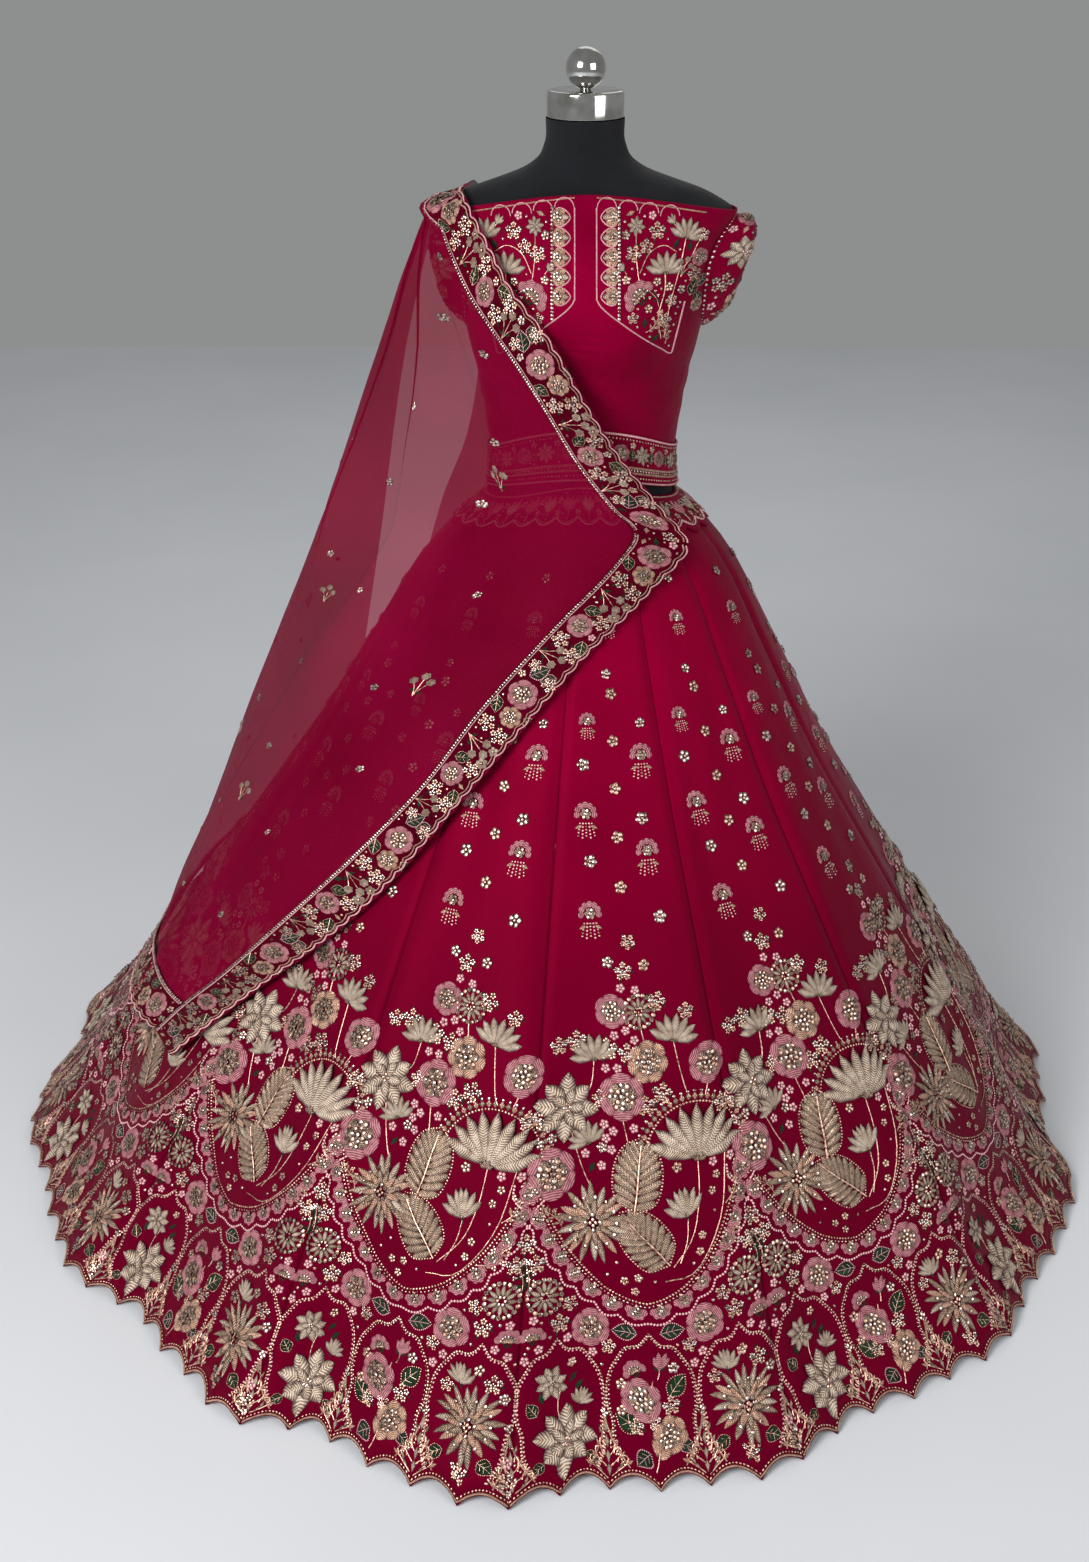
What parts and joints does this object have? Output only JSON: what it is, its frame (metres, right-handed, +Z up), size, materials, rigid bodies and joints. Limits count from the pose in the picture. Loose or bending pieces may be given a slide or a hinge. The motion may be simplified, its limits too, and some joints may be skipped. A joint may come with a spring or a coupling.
{
  "type": "lehenga choli on dress form",
  "caption": "Floor-length flared gored skirt, short blouse and one-shoulder net shawl, embroidered, worn by a limbless dress form on a round base",
  "frame": {"origin": "centre of the underside of the dress form's round base, on the floor", "axes": "+Z up along the dress form's pole, -Y towards the garment's front, +X towards the picture's right"},
  "size_m": [1.6143, 1.638, 1.5506],
  "materials": {
    "crimson silk": "soft satin-weave silk blend with a dull sheen",
    "gold embroidery": "thread, bead and sequin embroidery in cream gold, rose gold and dusty pink on crimson",
    "crimson net": "sheer soft net",
    "black jersey": "matte knitted cover",
    "chrome": "polished",
    "black enamel": "satin"
  },
  "bodies": {
    "root": {"form_torso": "black jersey", "form_neck_cap": "chrome", "form_ball": "chrome", "form_stand": "black enamel", "choli_front": "crimson silk", "choli_back": "crimson silk", "choli_sleeve_right": "gold embroidery", "choli_sleeve_left": "gold embroidery", "choli_hem_band": "gold embroidery", "skirt_yoke": "gold embroidery", "kali_01": "crimson silk", "kali_02": "crimson silk", "kali_03": "crimson silk", "kali_04": "crimson silk", "kali_05": "crimson silk", "kali_06": "crimson silk", "kali_07": "crimson silk", "kali_08": "crimson silk", "kali_09": "crimson silk", "kali_10": "crimson silk", "kali_11": "crimson silk", "kali_12": "crimson silk", "kali_13": "crimson silk", "kali_14": "crimson silk", "dupatta_front": "crimson net", "dupatta_border_upper": "gold embroidery", "dupatta_border_lower": "gold embroidery", "dupatta_border_end": "gold embroidery", "dupatta_back": "crimson net", "dupatta_border_back_end": "gold embroidery"}
  },
  "joints": []
}
